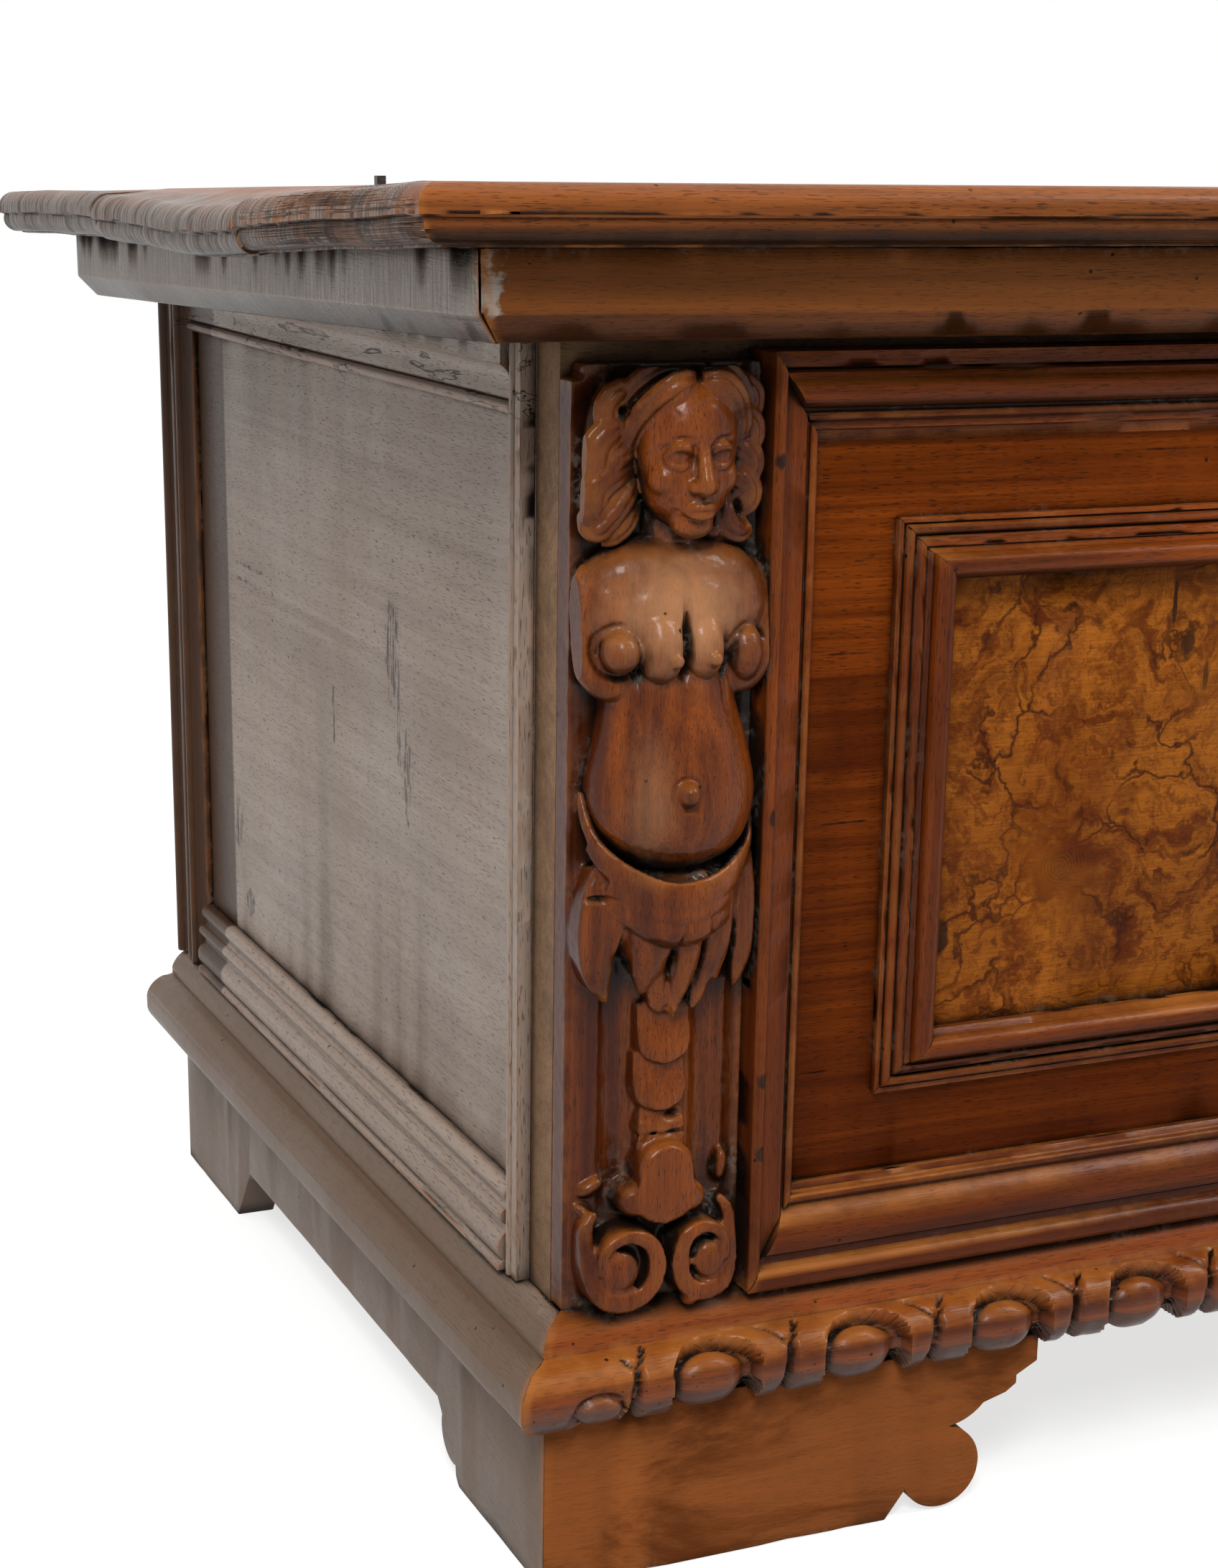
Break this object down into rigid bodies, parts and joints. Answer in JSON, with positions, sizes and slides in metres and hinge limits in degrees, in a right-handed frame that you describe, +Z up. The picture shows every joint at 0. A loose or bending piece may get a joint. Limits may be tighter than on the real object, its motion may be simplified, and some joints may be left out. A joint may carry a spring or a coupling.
{
  "type": "cassone",
  "caption": "Low walnut chest with a hinged lid, carved caryatid pilasters, framed burl panels on the front, a carved base moulding and bracket feet.",
  "frame": {"origin": "on the floor, under the middle of the outline", "axes": "+Z up, +X along the length to the right of the front, the carved front faces -Y"},
  "size_m": [1.732, 0.652, 0.5546],
  "materials": {
    "carved_walnut": "waxed carving, dark recesses, worn red-brown heights",
    "front_walnut": "waxed red-brown walnut, semi-gloss",
    "burl_walnut": "polished burl veneer",
    "aged_walnut": "dry, grey-brown, scuffed",
    "lid_walnut": "polished top, worn edges, grey end grain",
    "plain_wood": "planed, unpolished",
    "forged_iron": "hammered, dark and slightly rusted"
  },
  "bodies": {
    "carcass": {"back_board": "plain_wood", "base_moulding_front": "front_walnut", "base_moulding_left": "front_walnut", "base_moulding_right": "front_walnut", "bottom_board": "plain_wood", "burl_panel_left": "burl_walnut", "burl_panel_right": "burl_walnut", "caryatid_pilaster_left": "carved_walnut", "caryatid_pilaster_right": "carved_walnut", "end_board_left": "aged_walnut", "end_board_right": "aged_walnut", "escutcheon": "forged_iron", "field_board": "front_walnut", "frame_moulding_bottom": "front_walnut", "frame_moulding_left": "front_walnut", "frame_moulding_right": "front_walnut", "frame_moulding_top": "front_walnut", "front_board": "plain_wood", "front_foot_left": "front_walnut", "front_foot_right": "front_walnut", "glue_blocks": "plain_wood", "hinge_carcass_loop_left": "forged_iron", "hinge_carcass_loop_right": "forged_iron", "lock_case": "forged_iron", "panel_moulding_left_bottom": "front_walnut", "panel_moulding_left_inner": "front_walnut", "panel_moulding_left_outer": "front_walnut", "panel_moulding_left_top": "front_walnut", "panel_moulding_right_bottom": "front_walnut", "panel_moulding_right_inner": "front_walnut", "panel_moulding_right_outer": "front_walnut", "panel_moulding_right_top": "front_walnut", "rear_foot_left": "plain_wood", "rear_foot_right": "plain_wood", "side_moulding_left_bottom": "aged_walnut", "side_moulding_left_front": "aged_walnut", "side_moulding_left_rear": "aged_walnut", "side_moulding_left_top": "aged_walnut", "side_moulding_right_bottom": "aged_walnut", "side_moulding_right_front": "aged_walnut", "side_moulding_right_rear": "aged_walnut", "side_moulding_right_top": "aged_walnut", "side_rail_left": "aged_walnut", "side_rail_right": "aged_walnut"},
    "lid": {"hinge_lid_loop_left": "forged_iron", "hinge_lid_loop_right": "forged_iron", "lid_cleat_left": "lid_walnut", "lid_cleat_right": "lid_walnut", "lid_frieze_front": "lid_walnut", "lid_plank_front": "lid_walnut", "lid_plank_middle": "lid_walnut", "lid_plank_rear": "lid_walnut", "lid_staple": "forged_iron"},
    "bolt": {"lock_bolt": "forged_iron"}
  },
  "joints": [
    {"name": "lid_hinge", "type": "hinge", "parent": "carcass", "child": "lid", "pos_m": [0, 0.31, 0.50011], "axis": [-1, 0, 0], "range_deg": [0, 95]},
    {"name": "lock_bolt_slide", "type": "slide", "parent": "carcass", "child": "bolt", "axis": [1, 0, 0], "range_m": [0, 0.014]}
  ]
}
